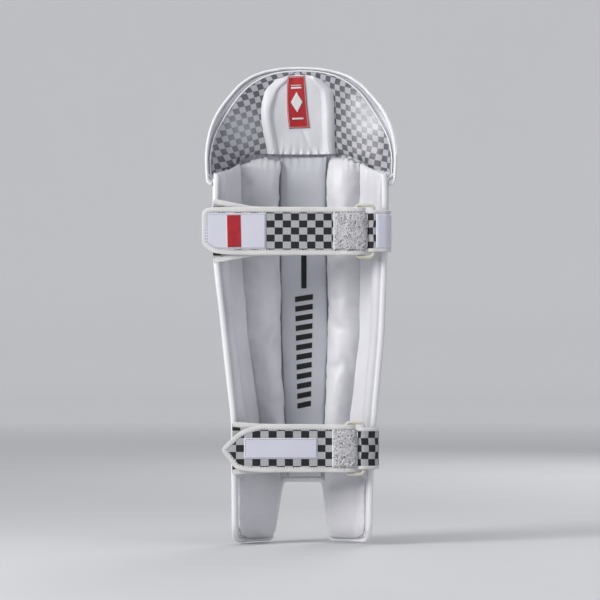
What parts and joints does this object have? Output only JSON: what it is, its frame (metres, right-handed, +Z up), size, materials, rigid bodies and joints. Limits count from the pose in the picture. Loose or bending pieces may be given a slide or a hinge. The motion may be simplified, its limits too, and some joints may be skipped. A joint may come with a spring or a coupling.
{
  "type": "cricket leg pad",
  "caption": "Batting leg pad with a fluted padded face, a domed knee piece on a flexing seam, and two hook-and-loop straps through swinging rings.",
  "frame": {"origin": "on the floor between the feet, under the middle of the pad", "axes": "+Z up along the shin, +Y towards the bowler (the fluted face), -Y towards the wearer's calf and the straps, +X to the wing that carries the rings"},
  "size_m": [0.2815, 0.1621, 0.7002],
  "materials": {
    "white_cover": "satin",
    "piping": "satin",
    "tape": "matte",
    "webbing": "matte",
    "checked_lining": "satin",
    "patch": "satin",
    "red_patch": "matte",
    "ring": "satin",
    "foam": "matte",
    "cane": "matte",
    "loop": "matte",
    "hook": "matte"
  },
  "bodies": {
    "pad": {"cane_1": "cane", "cane_2": "cane", "cane_3": "cane", "cane_4": "cane", "cane_5": "cane", "cane_6": "cane", "cane_7": "cane", "centre_shin_pad": "white_cover", "face_cover": "white_cover", "face_foam": "foam", "instep_binding": "piping", "knee_hinge_gather": "white_cover", "knee_roll_lower": "white_cover", "knee_roll_middle": "white_cover", "knee_roll_upper": "white_cover", "left_bolster_cover": "white_cover", "left_bolster_foam": "foam", "left_edge_binding": "piping", "left_foot_binding": "tape", "left_foot_pad": "white_cover", "left_wing_pad": "white_cover", "lower_strap_keeper": "webbing", "right_bolster_cover": "white_cover", "right_bolster_foam": "foam", "right_edge_binding": "piping", "right_foot_binding": "tape", "right_foot_pad": "white_cover", "right_wing_pad": "white_cover", "shin_lining": "white_cover", "upper_strap_keeper": "webbing"},
    "top_hat": {"top_hat_centre_lining": "white_cover", "top_hat_edge_binding": "piping", "top_hat_face": "white_cover", "top_hat_foam": "foam", "top_hat_left_lining": "checked_lining", "top_hat_patch": "red_patch", "top_hat_right_lining": "checked_lining"},
    "upper_strap": {"upper_strap_band": "webbing", "upper_strap_loop_pad": "loop"},
    "upper_tail": {"upper_tail_band": "webbing", "upper_tail_hook_pad": "hook", "upper_tail_label": "red_patch", "upper_tail_patch": "patch"},
    "upper_ring": {"upper_ring": "ring"},
    "lower_strap": {"lower_strap_band": "webbing", "lower_strap_loop_pad": "loop"},
    "lower_tail": {"lower_tail_band": "webbing", "lower_tail_hook_pad": "hook", "lower_tail_patch": "patch"},
    "lower_ring": {"lower_ring": "ring"}
  },
  "joints": [
    {"name": "top_hat_flex", "type": "hinge", "parent": "pad", "child": "top_hat", "pos_m": [0, 0.064, 0.564], "axis": [1, 0, 0], "range_deg": [-20, 4]},
    {"name": "upper_strap_lift", "type": "hinge", "parent": "pad", "child": "upper_strap", "pos_m": [-0.1265, -0.06883, 0.454], "axis": [0, 0, -1], "range_deg": [0, 1.45]},
    {"name": "upper_ring_swing", "type": "hinge", "parent": "pad", "child": "upper_ring", "pos_m": [0.104, -0.07543, 0.454], "axis": [0, 0, 1], "range_deg": [0, 12]},
    {"name": "upper_tail_peel", "type": "hinge", "parent": "upper_strap", "child": "upper_tail", "pos_m": [0.079, -0.07543, 0.454], "axis": [0, 0, 1], "range_deg": [0, 120]},
    {"name": "lower_strap_lift", "type": "hinge", "parent": "pad", "child": "lower_strap", "pos_m": [-0.099, -0.05931, 0.1415], "axis": [0, 0, -1], "range_deg": [0, 1.81]},
    {"name": "lower_ring_swing", "type": "hinge", "parent": "pad", "child": "lower_ring", "pos_m": [0.09, -0.06591, 0.1415], "axis": [0, 0, 1], "range_deg": [0, 12]},
    {"name": "lower_tail_peel", "type": "hinge", "parent": "lower_strap", "child": "lower_tail", "pos_m": [0.065, -0.06591, 0.1415], "axis": [0, 0, 1], "range_deg": [0, 120]}
  ],
  "couplings": [
    {"joint": "upper_ring_swing", "follows": "upper_strap_lift", "ratio": 8.27},
    {"joint": "lower_ring_swing", "follows": "lower_strap_lift", "ratio": 6.6}
  ]
}
